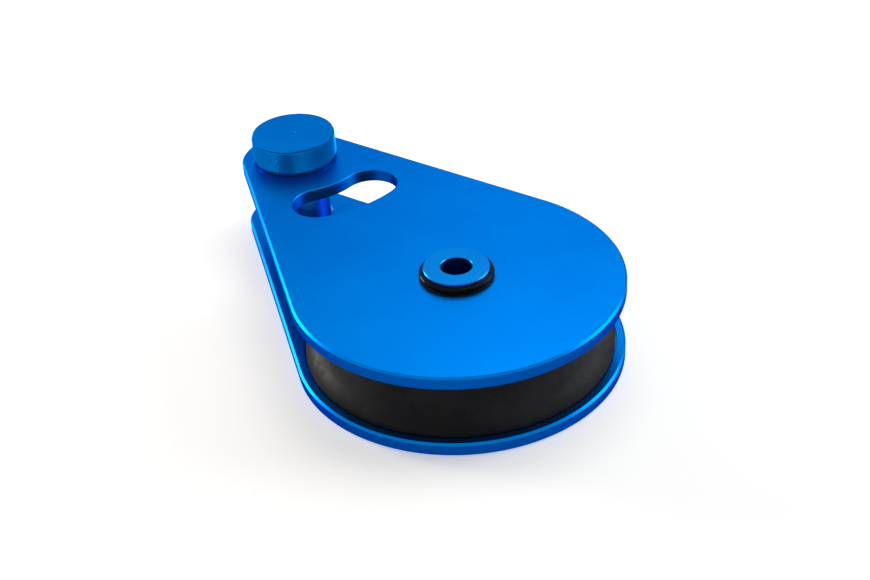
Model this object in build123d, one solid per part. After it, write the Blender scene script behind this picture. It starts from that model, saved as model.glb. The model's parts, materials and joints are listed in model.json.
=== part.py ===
from build123d import *
import os
from math import asin, cos, pi, radians, sin, sqrt

# Opening snatch block: a grooved sheave on a roller bearing between two teardrop side plates.
# The upper plate swings about the axle so that a rope can be laid in from the side. A
# quarter-turn lock in the narrow end holds it shut over the anchor post.
# Origin: on the axle axis, at the underside of the fixed plate. +X points to the anchor post
# and +Z up the axle. All sizes are in millimetres.

# ---- side plates ----
plate_radius = 80.0        # round end, about the axle
end_radius = 29.0          # narrow end, about the anchor post
pin_distance = 150.0       # axle to anchor post
plate_thickness = 7.0
plate_gap = 30.0           # between the plates
plate_chamfer = 1.0
recess_depth = 1.5         # the sheave's rims run in a shallow recess of each plate
recess_gap = 0.8           # round the sheave, so that no rope gets in between

# ---- anchor slot, a kidney about the post's axis, for a shackle or a sling ----
slot_radius = 53.2         # to the middle of the slot
slot_width = 28.0
slot_half_angle = 17.0     # degrees from the centre line to each lobe's centre
slot_chamfer = 0.5

# ---- headed pins: the axle and the anchor post ----
pin_diameter = 32.0
head_width = 4.5           # the head stands out this much all round
head_height = 3.0
seat_chamfer = 1.6         # round the post's hole, on the upper side of the fixed plate
dowel_diameter = 3.0
dowel_length = 5.2
axle_bore = 15.0
axle_stand = 5.0           # above the swing plate
axle_chamfer = 0.4

# ---- round-wire retaining ring on the axle ----
wire_diameter = 3.0
wire_depth = 1.0           # of its groove in the axle
wire_lift = 0.3            # above the swing plate
wire_opening = 40.0        # degrees
wire_opening_at = -70.0    # degrees from +X

# ---- sheave ----
sheave_diameter = 150.0
sheave_side_gap = 0.8      # to the floor of each recess
groove_depth = 8.5
rim_land = 3.0             # flat on each side of the groove
rim_chamfer = 0.4
bore_lip = 4.0             # lip the bearing seats against

# ---- sealed full-complement roller bearing ----
bearing_diameter = 62.0
bearing_width = 20.0
roller_diameter = 9.0
roller_length = 12.0
roller_play = 0.05
roller_gap = 0.3           # between neighbours, at least
rib_height = 2.0           # guides the rollers' ends
seal_thickness = 1.5
seal_gap = 0.4             # lip to the inner ring
spacer_width = 4.0         # wall of the spacers beside the inner ring

# ---- internal circlip in the sheave ----
circlip_thickness = 2.0
circlip_width = 4.0
circlip_depth = 1.5        # of its groove
circlip_opening = 24.0     # degrees between the ends
ear_radius = 3.4
ear_hole = 2.5

# ---- quarter-turn lock ----
nose_diameter = 20.0
nose_flats = 12.0          # across the flats
nose_length = 8.6
nose_play = 0.3            # to the channel and to the pocket's wall
collar_diameter = 23.0
collar_height = 1.9
post_drop = 0.6            # collar to the top of the post
spindle_diameter = 16.0
spigot_diameter = 12.0
spigot_length = 9.2
knob_diameter = 45.0
knob_height = 13.8
knob_chamfer = 0.6
knob_dimple = 2.6          # centre-drill mark
washer_thickness = 0.8
washer_inset = 1.0
grub_diameter = 5.0
grub_length = 10.0
grub_socket = 2.5

# ---- bushes and fits ----
swing_bush_wall = 1.5
knob_bush_wall = 2.0
running_clearance = 0.05   # radial, shaft in bush
seat_clearance = 0.02      # radial, between pressed or screwed pieces
end_play = 0.1

# ---- levels ----
plate_top = plate_thickness
swing_bottom = plate_top + plate_gap
swing_top = swing_bottom + plate_thickness
mid_height = plate_top + plate_gap / 2
lower_recess = plate_top - recess_depth
upper_recess = swing_bottom + recess_depth
sheave_bottom = lower_recess + sheave_side_gap
sheave_top = upper_recess - sheave_side_gap
bearing_bottom = mid_height - bearing_width / 2
bearing_top = mid_height + bearing_width / 2
collar_top = swing_bottom - end_play
collar_bottom = collar_top - collar_height
post_top = collar_bottom - post_drop
knob_bottom = swing_top + washer_thickness
axle_top = swing_top + axle_stand

# ---- radii that several pieces share ----
pin_radius = pin_diameter / 2
seat_radius = pin_radius + seat_clearance
head_radius = pin_radius + head_width
dowel_radius = dowel_diameter / 2
dowel_at = pin_radius + head_width / 2
recess_radius = sheave_diameter / 2 + recess_gap
bearing_radius = bearing_diameter / 2
pitch_radius = (bearing_diameter + pin_diameter) / 4
inner_race = pitch_radius - roller_diameter / 2 - roller_play
outer_race = pitch_radius + roller_diameter / 2 + roller_play
roller_count = int(pi / asin((roller_diameter + roller_gap) / 2 / pitch_radius))
seal_seat = outer_race + 1
swing_hole = pin_radius + running_clearance + swing_bush_wall
knob_hole = spindle_diameter / 2 + running_clearance + knob_bush_wall

post_place = Pos(pin_distance, 0)


def disc(radius, z_from, z_to):
    """A cylinder on the Z axis."""
    return Pos(0, 0, z_from) * extrude(Circle(radius), z_to - z_from)


def tube(outer, inner, z_from, z_to):
    """A hollow cylinder on the Z axis."""
    return Pos(0, 0, z_from) * extrude(Circle(outer) - Circle(inner), z_to - z_from)


def turned(profile):
    """A profile drawn as radius and height, turned about the Z axis."""
    return revolve(Plane.XZ * profile, Axis.Z)


def section(r_from, r_to, z_from, z_to):
    """A rectangle in a turned profile."""
    centre = Pos((r_from + r_to) / 2, (z_from + z_to) / 2)
    return centre * Rectangle(r_to - r_from, z_to - z_from)


def edges_at(shape, z):
    """The shape's flat edges at a height."""
    return shape.edges().filter_by_position(Axis.Z, z, z)


# ---- side plates ----
def plate_blank():
    """Teardrop plate with chamfered edges and the kidney slot."""
    ends = Circle(plate_radius).edges() + (post_place * Circle(end_radius)).edges()
    blank = extrude(make_hull(ends), plate_thickness)
    blank = chamfer(edges_at(blank, 0) + edges_at(blank, plate_thickness), plate_chamfer)
    middle = CenterArc((pin_distance, 0), slot_radius, 180 - slot_half_angle, 2 * slot_half_angle)
    blank -= extrude(SlotArc(middle, slot_width), plate_thickness)
    faces = blank.faces().sort_by(Axis.Z)
    slot_edges = faces[0].inner_wires().edges() + faces[-1].inner_wires().edges()
    return chamfer(slot_edges, slot_chamfer)


def pin_seat():
    """Cut for a headed pin and its dowel, let in from below."""
    hole = disc(seat_radius, 0, plate_thickness)
    counterbore = disc(head_radius + seat_clearance, 0, head_height)
    return hole + counterbore + Pos(0, dowel_at) * disc(
        dowel_radius + seat_clearance, 0, dowel_length + end_play)


def fixed_side_plate():
    funnel = Pos(0, 0, plate_top - seat_chamfer) * extrude(
        Circle(seat_radius), seat_chamfer, taper=-45)
    plate = plate_blank() - disc(recess_radius, lower_recess, plate_top)
    return plate - pin_seat() - post_place * (pin_seat() + funnel)


def swing_side_plate():
    plate = plate_blank() - disc(swing_hole + seat_clearance, 0, plate_thickness)
    plate -= disc(recess_radius, 0, recess_depth)
    plate -= post_place * disc(knob_hole + seat_clearance, 0, plate_thickness)
    return Pos(0, 0, swing_bottom) * plate


# ---- headed pins and what holds them ----
def headed_pin(top):
    """A turned pin whose head lies flush in the fixed plate's underside."""
    pin = disc(pin_radius, 0, top) + disc(head_radius, 0, head_height)
    return pin - Pos(0, dowel_at) * disc(dowel_radius + seat_clearance, 0, head_height)


def dowels():
    """One dowel in each head, half in the plate, so that the pins can't turn."""
    dowel = Pos(0, dowel_at) * disc(dowel_radius, 0, dowel_length)
    return Compound(children=[dowel, post_place * dowel])


def axle():
    shaft = headed_pin(axle_top)
    shaft = chamfer(edges_at(shaft, axle_top), axle_chamfer)
    shaft -= disc(axle_bore / 2, 0, axle_top)
    return shaft - tube(head_radius, pin_radius - wire_depth - seat_clearance,
                        swing_top + wire_lift, swing_top + wire_lift + wire_diameter)


def retaining_ring():
    radius = wire_diameter / 2
    wire = Pos(pin_radius - wire_depth + radius, swing_top + wire_lift + radius) * Circle(radius)
    ring = revolve(Plane.XZ * wire, Axis.Z, 360 - wire_opening)
    return Rot(0, 0, wire_opening_at + wire_opening / 2) * ring


def anchor_post():
    """The post takes the lock's nose in a pocket that a channel crosses, along the swing."""
    post = post_place * headed_pin(post_top)
    floor = collar_bottom - nose_length - nose_play
    post -= post_place * disc(nose_diameter / 2 + nose_play, floor, post_top)
    reach = pin_distance + nose_flats / 2
    corner = sqrt(reach ** 2 + (nose_diameter ** 2 - nose_flats ** 2) / 4)
    return post - tube(corner + nose_play, pin_distance - nose_flats / 2 - nose_play,
                       floor, post_top)


# ---- sheave ----
def sheave():
    radius = sheave_diameter / 2
    profile = section(bearing_radius + seat_clearance, radius, sheave_bottom, sheave_top)
    profile = chamfer(profile.vertices().group_by(Axis.X)[-1], rim_chamfer)
    half_width = (sheave_top - sheave_bottom) / 2 - rim_land
    groove_radius = (half_width ** 2 + groove_depth ** 2) / (2 * groove_depth)
    profile -= Pos(radius - groove_depth + groove_radius, mid_height) * Circle(groove_radius)
    profile += section(bearing_radius - bore_lip, bearing_radius + circlip_depth,
                       sheave_bottom, bearing_bottom)
    profile -= section(bearing_radius, bearing_radius + circlip_depth + seat_clearance,
                       bearing_top, bearing_top + circlip_thickness + seat_clearance)
    return turned(profile)


def sheave_circlip():
    """Internal circlip with two pliers ears."""
    outer = bearing_radius + circlip_depth
    ring = Circle(outer) - Circle(outer - circlip_width)
    half = circlip_opening / 2
    reach = 2 * outer
    ring -= Polygon((0, 0), (reach * cos(radians(half)), reach * sin(radians(half))),
                    (reach * cos(radians(half)), -reach * sin(radians(half))), align=None)
    ear_at = outer - circlip_width
    for side in (1, -1):
        place = Rot(0, 0, side * (half + 3)) * Pos(ear_at, 0)
        ring += place * Circle(ear_radius)
        ring -= place * Circle(ear_hole / 2)
    return Pos(0, 0, bearing_top) * extrude(ring, circlip_thickness)


# ---- bearing ----
def bearing_inner_ring():
    """Inner ring with a rib at each end of the rollers."""
    ring = section(seat_radius, inner_race + rib_height, bearing_bottom, bearing_top)
    return turned(ring - section(inner_race, inner_race + rib_height,
                                 mid_height - roller_length / 2 - end_play,
                                 mid_height + roller_length / 2 + end_play))


def bearing_outer_ring():
    """Plain raceway with a seat for a seal at each end."""
    ring = section(outer_race, bearing_radius, bearing_bottom, bearing_top)
    ring -= section(outer_race, seal_seat, bearing_bottom, bearing_bottom + seal_thickness)
    ring -= section(outer_race, seal_seat, bearing_top - seal_thickness, bearing_top)
    return turned(ring)


def bearing_rollers():
    roller = Pos(0, 0, mid_height) * Cylinder(roller_diameter / 2, roller_length)
    return Compound(children=[place * roller
                              for place in PolarLocations(pitch_radius, roller_count)])


def bearing_seal(bottom):
    return tube(seal_seat - seat_clearance, inner_race + rib_height + seal_gap,
                bottom, bottom + seal_thickness)


def spacer(z_from, z_to):
    """Ring between the bearing's inner ring and a side plate."""
    return tube(pin_radius + spacer_width, seat_radius, z_from, z_to)


# ---- lock ----
def bush(bore_radius, wall, bottom):
    return tube(bore_radius + running_clearance + wall, bore_radius + running_clearance,
                bottom, swing_top)


def lock_spindle():
    """Flatted nose, collar under the plate, journal and spigot for the knob, in one piece."""
    nose = disc(nose_diameter / 2, collar_bottom - nose_length, collar_bottom)
    nose &= Pos(0, 0, collar_bottom) * Box(nose_flats, 2 * nose_diameter, 4 * nose_length)
    spindle = nose + disc(collar_diameter / 2, collar_bottom, collar_top)
    spindle += disc(spindle_diameter / 2, collar_top, knob_bottom)
    spigot = disc(spigot_diameter / 2, knob_bottom, knob_bottom + spigot_length)
    spigot -= Pos(spigot_diameter / 2, 0, knob_bottom + knob_height / 2) * Box(
        2, spigot_diameter, 2 * grub_diameter)
    return post_place * (spindle + spigot)


def knob():
    body = disc(knob_diameter / 2, knob_bottom, knob_bottom + knob_height)
    body = chamfer(edges_at(body, knob_bottom) + edges_at(body, knob_bottom + knob_height),
                   knob_chamfer)
    body -= disc(spigot_diameter / 2 + seat_clearance, knob_bottom,
                 knob_bottom + spigot_length + end_play)
    body -= Pos(0, 0, knob_bottom + knob_height) * Cone(0, knob_dimple, knob_dimple)
    screw_hole = Pos(0, 0, knob_bottom + knob_height / 2) * Rot(0, 90, 0) * Cylinder(
        grub_diameter / 2 + seat_clearance, knob_diameter / 2,
        align=(Align.CENTER, Align.CENTER, Align.MIN))
    return post_place * (body - screw_hole)


def knob_grub_screw():
    tip = spigot_diameter / 2 - 1 + seat_clearance
    screw = disc(grub_diameter / 2, 0, grub_length)
    screw = chamfer(edges_at(screw, 0), grub_diameter / 10)
    socket = RegularPolygon(grub_socket / 2, 6, major_radius=False)
    screw -= Pos(0, 0, grub_length * 0.6) * extrude(socket, grub_length)
    height = knob_bottom + knob_height / 2
    return post_place * Pos(tip, 0, height) * Rot(0, 90, 0) * screw


def knob_washer():
    return post_place * tube(knob_diameter / 2 - washer_inset,
                             spindle_diameter / 2 + running_clearance, swing_top, knob_bottom)


pieces = {
    "fixed_side_plate": fixed_side_plate(),
    "axle": axle(),
    "anchor_post": anchor_post(),
    "head_dowels": dowels(),
    "retaining_ring": retaining_ring(),
    "lower_spacer": spacer(lower_recess, bearing_bottom),
    "upper_spacer": spacer(bearing_top, upper_recess),
    "bearing_inner_ring": bearing_inner_ring(),
    "bearing_outer_ring": bearing_outer_ring(),
    "bearing_rollers": bearing_rollers(),
    "lower_bearing_seal": bearing_seal(bearing_bottom),
    "upper_bearing_seal": bearing_seal(bearing_top - seal_thickness),
    "sheave": sheave(),
    "sheave_circlip": sheave_circlip(),
    "swing_side_plate": swing_side_plate(),
    "swing_bush": bush(pin_radius, swing_bush_wall, upper_recess),
    "knob_bush": post_place * bush(spindle_diameter / 2, knob_bush_wall, swing_bottom),
    "lock_spindle": lock_spindle(),
    "knob_washer": knob_washer(),
    "knob": knob(),
    "knob_grub_screw": knob_grub_screw(),
}

os.makedirs("parts", exist_ok=True)
for name, shape in pieces.items():
    export_step(shape, f"parts/{name}.step")
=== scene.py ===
import json
from math import asin, cos, degrees, hypot, pi, radians, sin

import bmesh
import bpy
from mathutils import Matrix, Vector
from mathutils.geometry import tessellate_polygon

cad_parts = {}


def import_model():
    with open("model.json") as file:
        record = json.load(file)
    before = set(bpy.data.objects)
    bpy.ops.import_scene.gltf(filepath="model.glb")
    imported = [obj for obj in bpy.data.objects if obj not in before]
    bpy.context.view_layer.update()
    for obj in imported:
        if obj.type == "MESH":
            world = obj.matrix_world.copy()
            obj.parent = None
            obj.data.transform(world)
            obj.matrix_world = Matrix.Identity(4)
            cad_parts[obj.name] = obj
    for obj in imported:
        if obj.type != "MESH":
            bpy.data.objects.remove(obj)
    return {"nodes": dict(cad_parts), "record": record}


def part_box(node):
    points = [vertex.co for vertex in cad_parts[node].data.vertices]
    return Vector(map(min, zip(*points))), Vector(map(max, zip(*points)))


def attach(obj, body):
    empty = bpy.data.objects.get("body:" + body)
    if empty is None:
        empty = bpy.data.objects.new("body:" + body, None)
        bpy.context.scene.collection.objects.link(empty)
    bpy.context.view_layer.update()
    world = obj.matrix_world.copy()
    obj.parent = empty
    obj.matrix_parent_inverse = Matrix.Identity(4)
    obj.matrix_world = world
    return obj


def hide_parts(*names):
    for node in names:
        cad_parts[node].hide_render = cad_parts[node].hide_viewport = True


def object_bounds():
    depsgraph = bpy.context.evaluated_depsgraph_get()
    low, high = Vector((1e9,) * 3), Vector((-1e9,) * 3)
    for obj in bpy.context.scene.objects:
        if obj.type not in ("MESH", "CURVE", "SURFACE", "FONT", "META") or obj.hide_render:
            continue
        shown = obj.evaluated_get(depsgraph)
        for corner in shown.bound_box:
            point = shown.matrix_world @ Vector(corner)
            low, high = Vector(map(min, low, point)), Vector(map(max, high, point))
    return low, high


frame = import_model()
cad_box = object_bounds()
nodes = frame["nodes"]
MM = 0.001


def low(node, axis):
    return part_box(node)[0][axis]


def high(node, axis):
    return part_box(node)[1][axis]


# ---- sizes: read from the CAD's nodes, or with the value that part.py gives them ----
spacer_wall = 4.0 * MM
plate_radius = -low("fixed_side_plate", 0)
pin_radius = high("lower_spacer", 0) - spacer_wall
wire_radius = (high("retaining_ring", 2) - low("retaining_ring", 2)) / 2
ring_radius = -low("retaining_ring", 0) - wire_radius
post_x = (low("knob", 0) + high("knob", 0)) / 2
end_radius = high("fixed_side_plate", 0) - post_x
sheave_radius = high("sheave", 0)
sheave_low, sheave_high = low("sheave", 2), high("sheave", 2)
knob_low, knob_high = low("knob", 2), high("knob", 2)
knob_radius = (high("knob", 0) - low("knob", 0)) / 2
plate_chamfer, slot_chamfer, seat_chamfer = 1.0 * MM, 0.5 * MM, 1.6 * MM
recess_depth, recess_radius = 1.5 * MM, sheave_radius + 0.8 * MM
seat_gap = 0.02 * MM
head_radius, head_height = high("axle", 0), 3.0 * MM
slot_radius, slot_width, slot_half_angle = 53.2 * MM, 28.0 * MM, radians(17)
groove_depth, rim_land, rim_chamfer = 8.5 * MM, 3.0 * MM, 0.4 * MM
spigot_radius = 6.0 * MM
axle_bore_radius, axle_bevel = 7.5 * MM, 0.4 * MM

# ---- sizes that only the scene has ----
knurl_depth, knob_edge, drill_mark = 0.6 * MM, 0.7 * MM, 1.3 * MM
spot_face = 0.8 * MM   # beyond the grub screw
axle_lift = 0.05 * MM  # the axle's head stays clear of the floor
floor_drop, floor_reach = 0.2 * MM, 6.0

# ---- a side plate's materials, by index ----
# index 1 gives the upright outer walls a darker painted-shade finish
# index 2 gives the post hole's chamfer a painted highlight in pale cyan
FLAT_FACE, SHADED_MILLED_EDGE, HIGHLIGHT_CHAMFER = 0, 1, 2


# ---- materials ----
class Nodes:
    """A material's node tree, with short calls to add and link nodes."""

    def __init__(self, name):
        self.start(bpy.data.materials.new(name))

    @classmethod
    def of(cls, material):
        """Goes on with a material that already has its nodes."""
        nodes = cls.__new__(cls)
        nodes.start(material)
        return nodes

    def start(self, material):
        self.material = material
        self.material.use_nodes = True
        self.tree = self.material.node_tree
        self.shader = self.tree.nodes["Principled BSDF"]
        self.coords = self.add("ShaderNodeTexCoord").outputs["Object"]

    def add(self, kind, inputs=(), **settings):
        node = self.tree.nodes.new(kind)
        for key, value in settings.items():
            setattr(node, key, value)
        for key, value in dict(inputs).items():
            self.put(node.inputs[key], value)
        return node

    def put(self, socket, value):
        if isinstance(value, bpy.types.NodeSocket):
            self.tree.links.new(value, socket)
        else:
            socket.default_value = value

    def noise(self, scale, detail=3.0, roughness=0.5, stretch=None):
        vector = self.coords
        if stretch:
            vector = self.add("ShaderNodeMapping",
                              {"Vector": vector, "Scale": stretch}).outputs[0]
        return self.add("ShaderNodeTexNoise", {"Vector": vector, "Scale": scale, "Detail": detail,
                                               "Roughness": roughness}).outputs["Fac"]

    def ramp(self, value, start, end, low_value=0.0, high_value=1.0):
        limits = {"From Min": start, "From Max": end, "To Min": low_value, "To Max": high_value}
        return self.add("ShaderNodeMapRange", {"Value": value, **limits}).outputs[0]

    def math(self, operation, a, b):
        return self.add("ShaderNodeMath", {0: a, 1: b}, operation=operation).outputs[0]

    def mix(self, factor, a, b):
        node = self.add("ShaderNodeMix", data_type="RGBA")
        self.put(node.inputs[0], factor)
        self.put(node.inputs[6], a)
        self.put(node.inputs[7], b)
        return node.outputs[2]

    def bump(self, height, strength, distance=0.0002):
        bump = self.add("ShaderNodeBump", {"Height": height, "Strength": strength,
                                           "Distance": distance})
        self.put(self.shader.inputs["Normal"], bump.outputs[0])


def anodised(name, deep, bright, roughness, grain=0.06):
    """Blue anodised aluminium: fine etched grain, faint clouding, a few pale rubs."""
    n = Nodes(name)
    n.shader.inputs["Metallic"].default_value = 1.0
    n.shader.inputs["Specular Tint"].default_value = (0.0, 0.3, 0.9, 1)
    cloud = n.noise(14, 4, 0.6)
    speck = n.noise(2600, 2, 0.7)
    rub = n.ramp(n.noise(190, 5, 0.75, (1, 6, 1)), 0.68, 0.8, 0, 0.16)
    colour = n.mix(n.ramp(cloud, 0.3, 0.7), deep, bright)
    colour = n.mix(rub, colour, (0.18, 0.5, 0.9, 1))
    n.put(n.shader.inputs["Base Color"], colour)
    n.put(n.shader.inputs["Roughness"],
          n.math("ADD", n.ramp(speck, 0.3, 0.7, roughness - 0.04, roughness + 0.05),
                 n.ramp(cloud, 0.3, 0.7, -0.03, 0.03)))
    n.bump(n.math("ADD", speck, n.math("MULTIPLY", n.noise(420, 3), 0.6)), grain, 0.00006)
    return n.material


def turned_knob():
    """The plates' finish with painted shade in the knurl grooves, a painted highlight on the
    crests, and turning lines on top.
    """
    material = anodised("knurled_anodised_blue", (0.0, 0.14, 0.44, 1), (0.0, 0.17, 0.5, 1), 0.3)
    n = Nodes.of(material)
    across = n.add("ShaderNodeVectorMath", {0: n.coords, 1: (-post_x, 0, 0)}, operation="ADD")
    flat = n.add("ShaderNodeVectorMath", {0: across.outputs[0], 1: (1, 1, 0)},
                 operation="MULTIPLY")
    radius = n.add("ShaderNodeVectorMath", {0: flat.outputs[0]},
                   operation="LENGTH").outputs["Value"]
    groove = n.ramp(radius, knob_radius - knurl_depth, knob_radius - 0.2 * knurl_depth)
    side = n.math("GREATER_THAN", radius, knob_radius - 1.05 * knurl_depth)
    rings = n.add("ShaderNodeTexNoise", {"W": n.math("MULTIPLY", radius, 1300), "Detail": 3.0},
                  noise_dimensions="1D").outputs["Fac"]
    finish = n.shader.inputs["Base Color"].links[0].from_socket
    top = n.mix(n.ramp(rings, 0.35, 0.7, 0, 0.35), finish, (0.0, 0.2, 0.56, 1))
    # Painted shade and highlight: dark blue deep in the knurl grooves, pale blue on the crests,
    # standing in for how light falls on the knurl.
    knurl_shade_and_highlight = n.mix(groove, (0.0, 0.035, 0.17, 1), (0.0, 0.25, 0.7, 1))
    n.put(n.shader.inputs["Base Color"], n.mix(side, top, knurl_shade_and_highlight))
    return material


def turned_nylon():
    """Black machined polyamide with fine turning lines, dust and a few light scuffs."""
    n = Nodes("black_polyamide")
    cloud = n.noise(30, 4, 0.6)
    lines = n.noise(900, 2, 0.5, (0.02, 0.02, 1.6))
    scuff = n.ramp(n.noise(260, 4, 0.8, (1, 1, 5)), 0.67, 0.74)
    dust = n.ramp(n.noise(70, 6, 0.7), 0.35, 0.75, 0, 0.5)
    n.shader.inputs["Specular IOR Level"].default_value = 0.07
    colour = n.mix(n.ramp(cloud, 0.3, 0.7), (0.013, 0.014, 0.018, 1), (0.024, 0.024, 0.028, 1))
    colour = n.mix(dust, colour, (0.055, 0.048, 0.044, 1))
    colour = n.mix(n.math("MULTIPLY", scuff, 0.6), colour, (0.2, 0.21, 0.21, 1))
    n.put(n.shader.inputs["Base Color"], colour)
    n.put(n.shader.inputs["Roughness"], n.ramp(n.noise(300, 3), 0.3, 0.7, 0.42, 0.6))
    n.bump(n.math("ADD", lines, n.noise(1500, 2)), 0.35, 0.00008)
    return n.material


def plain(name, colour, other, roughness, metallic=0.0, scale=400, strength=0.2, specular=0.5):
    """One finish that varies a little between two colours."""
    n = Nodes(name)
    n.shader.inputs["Metallic"].default_value = metallic
    n.shader.inputs["Specular IOR Level"].default_value = specular
    grain = n.noise(scale, 4, 0.6)
    n.put(n.shader.inputs["Base Color"], n.mix(n.ramp(grain, 0.3, 0.7), colour, other))
    n.put(n.shader.inputs["Roughness"],
          n.ramp(n.noise(scale / 3, 3), 0.3, 0.7, roughness - 0.06, roughness + 0.08))
    n.bump(grain, strength, 0.00008)
    return n.material


PLATE = anodised("plate_anodised_blue", (0.0, 0.135, 0.48, 1), (0.0, 0.155, 0.52, 1), 0.34)
# Painted shade: a darker copy of the plate finish for the upright outer walls; their rougher
# milled finish is real, but the darker blue stands in for the shade on them.
SHADED_EDGE = anodised("milled_edge_painted_shade_blue", (0.0, 0.075, 0.37, 1), (0.0, 0.09, 0.41, 1), 0.42)
PIN = anodised("turned_anodised_blue", (0.01, 0.145, 0.44, 1), (0.01, 0.175, 0.49, 1), 0.3)
KNOB = turned_knob()
NYLON = turned_nylon()
STEEL = plain("turned_steel", (0.5, 0.5, 0.51, 1), (0.6, 0.6, 0.6, 1), 0.35, 1.0)
BEARING = plain("bearing_steel", (0.6, 0.6, 0.61, 1), (0.68, 0.68, 0.68, 1), 0.22, 1.0,
                scale=700, strength=0.08)
BLACK_STEEL = plain("black_spring_steel", (0.002, 0.002, 0.002, 1), (0.008, 0.007, 0.005, 1), 0.2,
                    scale=500, strength=0.1, specular=0.06)
# Painted highlight: the post hole's chamfer gets a pale cyan metal instead of the plate's blue,
# set to the photograph, where this chamfer glows that colour.
PAINTED_HIGHLIGHT = plain("painted_highlight_chamfer", (0.62, 0.86, 0.95, 1), (0.68, 0.9, 0.97, 1), 0.35, 1.0,
               strength=0.02)
RUBBER = plain("black_rubber", (0.012, 0.012, 0.013, 1), (0.03, 0.03, 0.03, 1), 0.6)
POLYMER = plain("bush_polymer", (0.02, 0.02, 0.02, 1), (0.04, 0.04, 0.04, 1), 0.5)

FINISH = {
    "plate_blue": PLATE, "pin_blue": PIN, "knob_blue": KNOB, "sheave_nylon": NYLON,
    "steel": STEEL, "bearing_steel": BEARING, "black_spring_steel": BLACK_STEEL,
    "seal_rubber": RUBBER, "bush_polymer": POLYMER,
}
for part in frame["record"]["subparts"]:
    slots = nodes[part["node"]].data.materials
    slots.clear()
    slots.append(FINISH[part["material_slot"]])


# ---- pieces ----
def piece(name, mesh, material, body, *stands_for, slot=None, smooth=radians(30)):
    """Puts a mesh into the scene in place of CAD nodes."""
    obj = bpy.data.objects.new(name, mesh)
    bpy.context.scene.collection.objects.link(obj)
    mesh.materials.append(material)
    mesh.shade_smooth()
    mesh.set_sharp_from_angle(angle=smooth)
    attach(obj, body)
    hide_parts(*stands_for)
    return obj


def arc(centre, radius, start, end, step=1.5):
    """Points on an arc, angles in degrees."""
    count = max(2, int(abs(end - start) / step) + 1)
    angles = [radians(start + (end - start) * i / (count - 1)) for i in range(count)]
    return [(centre[0] + radius * cos(a), centre[1] + radius * sin(a)) for a in angles]


def teardrop():
    """A side plate's outline: two round ends joined by straight sides."""
    lean = degrees(asin((plate_radius - end_radius) / post_x))
    big = arc((0, 0), plate_radius, 90 - lean, 270 + lean, 1.0)
    small = arc((post_x, 0), end_radius, -90 + lean, 90 - lean, 2.0)
    return big + small


def kidney():
    """The slot's outline: an arc about the post with round ends."""
    half = degrees(slot_half_angle)
    pin = (post_x, 0)
    lobe_x = post_x - slot_radius * cos(slot_half_angle)
    lobe_y = slot_radius * sin(slot_half_angle)
    points = arc(pin, slot_radius + slot_width / 2, 180 - half, 180 + half)
    points += arc((lobe_x, -lobe_y), slot_width / 2, 180 + half, 360 + half, 4)[1:-1]
    points += arc(pin, slot_radius - slot_width / 2, 180 + half, 180 - half)
    points += arc((lobe_x, lobe_y), slot_width / 2, -half, 180 - half, 4)[1:-1]
    return points


def circle(x, radius):
    """A round outline about a point on the X axis."""
    return [(x + px * radius, py * radius) for px, py in arc((0, 0), 1, 0, 358, 2)]


def grown(points, by):
    """An outline moved outwards by a distance. Points run anticlockwise."""
    moved = []
    for before, here, after in zip(points[-1:] + points[:-1], points, points[1:] + points[:1]):
        a = (Vector(here) - Vector(before)).normalized()
        b = (Vector(after) - Vector(here)).normalized()
        along = (a + b).normalized()
        out = Vector((along.y, -along.x))
        moved.append(tuple(Vector(here) + out * by / max(0.5, along.dot(a))))
    return moved


class Plate:
    """A flat plate built from walls round its outlines and faces between them."""

    def __init__(self):
        self.bm = bmesh.new()

    def wall(self, points, steps, upright=FLAT_FACE, sloping=FLAT_FACE):
        """Walls through (growth, height) steps of an outline. Returns its rings of vertices."""
        rings = [[self.bm.verts.new((x, y, z)) for x, y in grown(points, by)] for by, z in steps]
        for lower, upper in zip(rings, rings[1:]):
            material = upright if abs(lower[0].co.x - upper[0].co.x) < 1e-7 else sloping
            for i in range(len(points)):
                j = (i + 1) % len(points)
                face = self.bm.faces.new((lower[i], lower[j], upper[j], upper[i]))
                face.material_index = material
        return rings

    def face(self, outer, *holes):
        """A flat face between rings of vertices."""
        rings = [outer, *holes]
        corners = [v for ring in rings for v in ring]
        for triangle in tessellate_polygon([[v.co for v in ring] for ring in rings]):
            self.bm.faces.new([corners[i] for i in triangle])

    def mesh(self, name):
        bmesh.ops.recalc_face_normals(self.bm, faces=self.bm.faces)
        mesh = bpy.data.meshes.new(name)
        self.bm.to_mesh(mesh)
        self.bm.free()
        return mesh


def lathe(name, profile, segments):
    """A closed profile of (radius, height) turned about the Z axis."""
    bm = bmesh.new()
    rings = []
    for radius, z in profile:
        rings.append([bm.verts.new((radius * cos(2 * pi * i / segments),
                                    radius * sin(2 * pi * i / segments), z))
                      for i in range(segments)])
    for a, b in zip(rings, rings[1:] + rings[:1]):
        for i in range(segments):
            j = (i + 1) % segments
            bm.faces.new((a[i], a[j], b[j], b[i]))
    bmesh.ops.recalc_face_normals(bm, faces=bm.faces)
    mesh = bpy.data.meshes.new(name)
    bm.to_mesh(mesh)
    bm.free()
    return mesh


def plate_walls(plate, bottom, top):
    """The chamfered outline and slot of a side plate."""
    c = plate_chamfer
    # the outline's upright wall takes the darker painted-shade finish
    outline = plate.wall(teardrop(), [(-c, bottom), (0, bottom + c), (0, top - c), (-c, top)],
                         upright=SHADED_MILLED_EDGE)
    c = slot_chamfer
    slot = plate.wall(kidney(), [(c, bottom), (0, bottom + c), (0, top - c), (c, top)])
    return outline, slot


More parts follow.
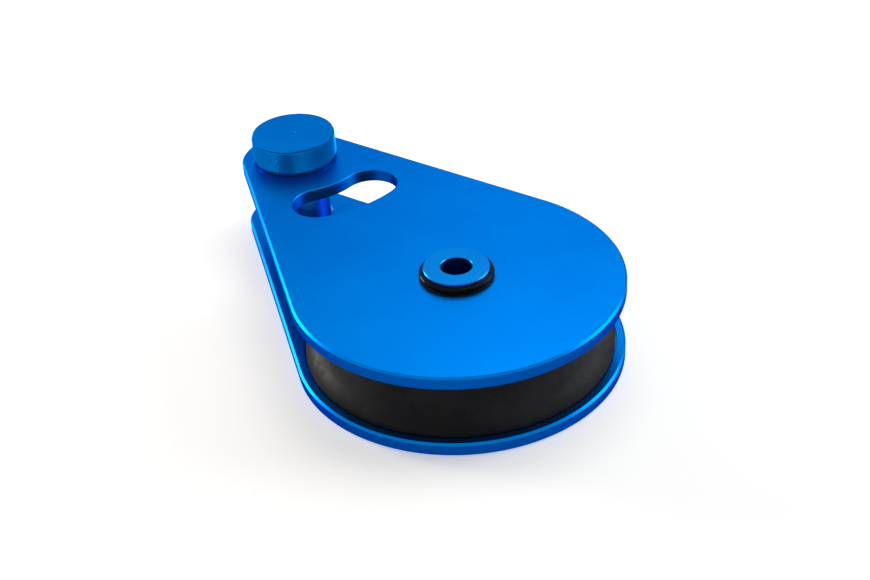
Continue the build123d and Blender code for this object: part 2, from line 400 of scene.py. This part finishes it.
def fixed_plate():
    bottom, top = low("fixed_side_plate", 2), high("fixed_side_plate", 2)
    floor_z = top - recess_depth
    head, seat = head_radius + seat_gap, pin_radius + seat_gap
    plate = Plate()
    outline, slot = plate_walls(plate, bottom, top)
    recess = plate.wall(circle(0, recess_radius), [(0, floor_z), (0, top)])
    step = [(head - seat, bottom), (head - seat, bottom + head_height), (0, bottom + head_height)]
    axle = plate.wall(circle(0, seat), step + [(0, floor_z)])
    rim = [(0, top - seat_chamfer), (seat_chamfer, top)]
    post = plate.wall(circle(post_x, seat), step + rim[:1])
    # the funnel's chamfer takes the pale cyan painted highlight, not the blue finish
    funnel = plate.wall(circle(post_x, seat), rim, sloping=HIGHLIGHT_CHAMFER)
    plate.face(outline[0], slot[0], axle[0], post[0])
    plate.face(outline[-1], slot[-1], recess[-1], funnel[-1])
    plate.face(recess[0], axle[-1])
    bmesh.ops.remove_doubles(plate.bm, verts=post[-1] + funnel[0], dist=1e-7)
    obj = piece("fixed_plate", plate.mesh("fixed_plate"), PLATE, "base", "fixed_side_plate",
                slot="plate_blue")
    obj.data.materials.append(SHADED_EDGE)
    obj.data.materials.append(PAINTED_HIGHLIGHT)


def swing_plate():
    bottom, top = low("swing_side_plate", 2), high("swing_side_plate", 2)
    roof = bottom + recess_depth
    plate = Plate()
    outline, slot = plate_walls(plate, bottom, top)
    recess = plate.wall(circle(0, recess_radius), [(0, bottom), (0, roof)])
    axle = plate.wall(circle(0, high("swing_bush", 0) + seat_gap), [(0, roof), (0, top)])
    post = plate.wall(circle(post_x, high("knob_bush", 1) + seat_gap), [(0, bottom), (0, top)])
    plate.face(outline[0], slot[0], recess[0], post[0])
    plate.face(outline[-1], slot[-1], axle[-1], post[-1])
    plate.face(recess[-1], axle[0])
    obj = piece("swing_plate", plate.mesh("swing_plate"), PLATE, "swing_plate",
                "swing_side_plate", slot="plate_blue")
    obj.data.materials.append(SHADED_EDGE)


def grooved_sheave():
    mid = (sheave_low + sheave_high) / 2
    half_width = (sheave_high - sheave_low) / 2 - rim_land
    groove = (half_width ** 2 + groove_depth ** 2) / (2 * groove_depth)
    centre = sheave_radius - groove_depth + groove
    edge = degrees(asin(half_width / groove))
    curve = arc((centre, mid), groove, 180 + edge, 180 - edge, 4)
    c, bore = rim_chamfer, high("bearing_outer_ring", 0)
    profile = [(bore, sheave_low), (sheave_radius - c, sheave_low),
               (sheave_radius, sheave_low + c)]
    profile += curve
    profile += [(sheave_radius, sheave_high - c), (sheave_radius - c, sheave_high),
                (bore, sheave_high)]
    piece("rope_sheave", lathe("rope_sheave", profile, 256), NYLON, "sheave", "sheave",
          slot="sheave_nylon")


def drilled(mesh, *holes):
    """The mesh with round holes, each from a start to an end with a radius."""
    solid = bpy.data.objects.new("drilled", mesh)
    bpy.context.scene.collection.objects.link(solid)
    drills = []
    for start, end, radius in holes:
        axis = Vector(end) - Vector(start)
        place = Matrix.Translation((Vector(start) + Vector(end)) / 2)
        place = place @ axis.to_track_quat("Z", "Y").to_matrix().to_4x4()
        place = place @ Matrix.Rotation(radians(2), 4, "Z")
        bm = bmesh.new()
        bmesh.ops.create_cone(bm, cap_ends=True, segments=48, radius1=radius, radius2=radius,
                              depth=axis.length, matrix=place)
        drill = bpy.data.objects.new("drill", bpy.data.meshes.new("drill"))
        bm.to_mesh(drill.data)
        bm.free()
        bpy.context.scene.collection.objects.link(drill)
        drills.append(drill)
        cut = solid.modifiers.new("hole", "BOOLEAN")
        cut.operation, cut.solver, cut.object = "DIFFERENCE", "EXACT", drill
    bpy.context.view_layer.update()
    evaluated = solid.evaluated_get(bpy.context.evaluated_depsgraph_get())
    result = bpy.data.meshes.new_from_object(evaluated)
    for obj in (solid, *drills):
        bpy.data.objects.remove(obj)
    return result


def knurled_knob():
    """Diamond-knurled side between two plain chamfers, with a centre-drill mark on top.
    The grub screw's hole starts in a plain spot face."""
    columns, rows = 96, 9
    per_column, per_row = 6, 6
    segments = columns * per_column
    middle, screw = (knob_low + knob_high) / 2, high("knob_grub_screw", 1)
    bm = bmesh.new()
    heights = [knob_low + knob_edge
               + (knob_high - knob_low - 2 * knob_edge) * k / (rows * per_row)
               for k in range(rows * per_row + 1)]
    rings = []

    def ring(z, radius_at):
        rings.append([bm.verts.new((post_x + radius_at(i) * cos(2 * pi * i / segments),
                                    radius_at(i) * sin(2 * pi * i / segments), z))
                      for i in range(segments)])

    ring(knob_low, lambda i: knob_radius - knob_edge)
    for k, z in enumerate(heights):
        def radius_at(i, k=k, z=z):
            angle = 2 * pi * i / segments
            if cos(angle) > 0 and hypot(knob_radius * sin(angle), z - middle) < screw + spot_face:
                return knob_radius - knurl_depth
            u, v = i / per_column, k / per_row
            ridge = min(abs((u + v) % 1 - 0.5), abs((u - v) % 1 - 0.5)) * 2
            end = min(1, 3 * min(k, len(heights) - 1 - k) / per_row)
            return knob_radius - knurl_depth + knurl_depth * min(1, ridge * 1.3) * end

        ring(z, radius_at)
    top, mark = knob_high, drill_mark
    for radius, z in ((knob_radius - knob_edge, top), (knob_radius * 0.5, top), (mark, top),
                      (mark * 0.55, top - mark * 0.45), (mark * 0.5, top - mark)):
        ring(z, lambda i, radius=radius: radius)
    for a, b in zip(rings, rings[1:]):
        for i in range(segments):
            j = (i + 1) % segments
            bm.faces.new((a[i], a[j], b[j], b[i]))
    tip = bm.verts.new((post_x, 0, top - mark * 1.3))
    for i in range(segments):
        bm.faces.new((rings[-1][i], rings[-1][(i + 1) % segments], tip))
    bm.faces.new(rings[0])
    bmesh.ops.recalc_face_normals(bm, faces=bm.faces)
    mesh = bpy.data.meshes.new("knurled_knob")
    bm.to_mesh(mesh)
    bm.free()
    mesh = drilled(
        mesh,
        ((post_x, 0, knob_low - 1 * MM), (post_x, 0, high("lock_spindle", 2) + 0.1 * MM),
         spigot_radius + seat_gap),
        ((post_x, 0, middle), (post_x + knob_radius + 1 * MM, 0, middle), screw + seat_gap))
    piece("knurled_knob", mesh, KNOB, "lock", "knob", slot="knob_blue", smooth=radians(25))


def hollow_axle():
    top, bottom = high("axle", 2), low("axle", 2) + axle_lift
    head_top = low("axle", 2) + head_height
    bore, bevel = axle_bore_radius, axle_bevel
    groove_low = low("retaining_ring", 2) - seat_gap
    groove_high = high("retaining_ring", 2) + seat_gap
    floor_radius = ring_radius - wire_radius - seat_gap
    profile = [(bore, bottom), (head_radius, bottom), (head_radius, head_top),
               (pin_radius, head_top), (pin_radius, groove_low), (floor_radius, groove_low),
               (floor_radius, groove_high), (pin_radius, groove_high), (pin_radius, top - bevel),
               (pin_radius - bevel, top), (bore + bevel, top), (bore, top - bevel)]
    piece("hollow_axle", lathe("hollow_axle", profile, 128), PIN, "base", "axle", slot="pin_blue")


def wire_ring():
    """Round spring wire with rounded ends, bent to a ring."""
    start, end = -50.0, 270.0
    curve = bpy.data.curves.new("wire_ring", "CURVE")
    curve.dimensions = "3D"
    curve.bevel_depth = wire_radius
    curve.bevel_resolution = 6
    curve.use_fill_caps = True
    spline = curve.splines.new("POLY")
    points = arc((0, 0), ring_radius, start, end, 2.5)
    spline.points.add(len(points) - 1)
    for point, (x, y) in zip(spline.points, points):
        point.co = (x, y, low("retaining_ring", 2) + wire_radius, 1)
    source = bpy.data.objects.new("wire_ring_curve", curve)
    bpy.context.scene.collection.objects.link(source)
    bpy.context.view_layer.update()
    mesh = bpy.data.meshes.new_from_object(source)
    bpy.data.objects.remove(source)
    piece("wire_ring", mesh, BLACK_STEEL, "base", "retaining_ring", slot="black_spring_steel",
          smooth=radians(60))


fixed_plate()
swing_plate()
grooved_sheave()
knurled_knob()
hollow_axle()
wire_ring()


# ---- floor, light and camera ----
def floor():
    """A pale floor that keeps the shadow and glows more with distance, up to the backdrop."""
    mesh = bpy.data.meshes.new("floor")
    reach = floor_reach
    corners = [(-reach, -reach, 0), (reach, -reach, 0), (reach, reach, 0), (-reach, reach, 0)]
    mesh.from_pydata(corners, [], [(0, 1, 2, 3)])
    n = Nodes("pale_floor")
    tone = n.ramp(n.noise(3, 3), 0.3, 0.7)
    n.put(n.shader.inputs["Base Color"],
          n.mix(tone, (0.92, 0.905, 0.875, 1), (0.94, 0.925, 0.895, 1)))
    n.shader.inputs["Roughness"].default_value = 0.9
    n.shader.inputs["Specular IOR Level"].default_value = 0.07
    n.shader.inputs["Emission Color"].default_value = (1, 1, 1, 1)
    path = n.add("ShaderNodeLightPath")
    seen = n.math("MAXIMUM", path.outputs["Is Camera Ray"], path.outputs["Is Glossy Ray"])
    away = n.add("ShaderNodeVectorMath", {0: n.coords}, operation="LENGTH").outputs["Value"]
    glow = n.ramp(away, 0.25, 1.2, 0.46, 0.9)
    n.put(n.shader.inputs["Emission Strength"], n.math("MULTIPLY", seen, glow))
    mesh.materials.append(n.material)
    obj = bpy.data.objects.new("floor", mesh)
    bpy.context.scene.collection.objects.link(obj)
    obj.location.z = cad_box[0][2] - floor_drop


def lamp(name, azimuth, elevation, distance, size, power, colour=(1, 1, 1)):
    """A soft square lamp that faces the block."""
    light = bpy.data.lights.new(name, "AREA")
    light.shape = "SQUARE"
    light.size = size
    light.energy = power
    light.color = colour
    obj = bpy.data.objects.new(name, light)
    bpy.context.scene.collection.objects.link(obj)
    a, e = radians(azimuth), radians(elevation)
    target = Vector((0.05, 0, 0.03))
    offset = Vector((cos(e) * cos(a), cos(e) * sin(a), sin(e))) * distance
    obj.location = target + offset
    obj.rotation_euler = (-offset).to_track_quat("-Z", "Y").to_euler()


def world():
    """A dim white light on the block, seen as plain white by the camera and in reflections."""
    w = bpy.data.worlds.new("studio")
    w.use_nodes = True
    tree = w.node_tree
    background = tree.nodes["Background"]
    background.inputs["Color"].default_value = (1, 1, 1, 1)
    path = tree.nodes.new("ShaderNodeLightPath")
    camera_or_gloss = tree.nodes.new("ShaderNodeMath")
    camera_or_gloss.operation = "MAXIMUM"
    seen = tree.nodes.new("ShaderNodeMath")
    seen.operation = "MAXIMUM"
    level = tree.nodes.new("ShaderNodeMapRange")
    level.inputs["To Min"].default_value = 0.15
    level.inputs["To Max"].default_value = 1.0
    link = tree.links.new
    link(path.outputs["Is Camera Ray"], camera_or_gloss.inputs[0])
    link(path.outputs["Is Glossy Ray"], camera_or_gloss.inputs[1])
    link(camera_or_gloss.outputs[0], seen.inputs[0])
    link(path.outputs["Is Transmission Ray"], seen.inputs[1])
    link(seen.outputs[0], level.inputs["Value"])
    link(level.outputs[0], background.inputs["Strength"])
    bpy.context.scene.world = w


def camera():
    """Looks at the block from beside its round end, from above."""
    azimuth, elevation, roll = radians(146.908), radians(34.278), radians(-3.592)
    distance, target = 0.7559, Vector((0.05002, -0.01978, 0.0))
    offset = Vector((cos(elevation) * cos(azimuth), cos(elevation) * sin(azimuth), sin(elevation)))
    forward = -offset
    right = forward.cross(Vector((0, 0, 1))).normalized()
    down = forward.cross(right).normalized()
    x_axis = cos(roll) * right - sin(roll) * down
    y_axis = -(sin(roll) * right + cos(roll) * down)
    data = bpy.data.cameras.new("camera")
    data.sensor_width = 36.0
    data.lens = 60.18
    obj = bpy.data.objects.new("camera", data)
    bpy.context.scene.collection.objects.link(obj)
    matrix = Matrix((x_axis, y_axis, offset)).transposed().to_4x4()
    matrix.translation = target + offset * distance
    obj.matrix_world = matrix
    bpy.context.scene.camera = obj


floor()
lamp("key", -60, 60, 1.3, 1.0, 6)
lamp("left", 28, 12, 1.4, 0.5, 16, (1, 0.94, 0.88))
lamp("right", -114, 22, 1.4, 0.8, 10, (0.88, 0.95, 1))
world()
camera()
bpy.context.scene.view_settings.view_transform = "Standard"
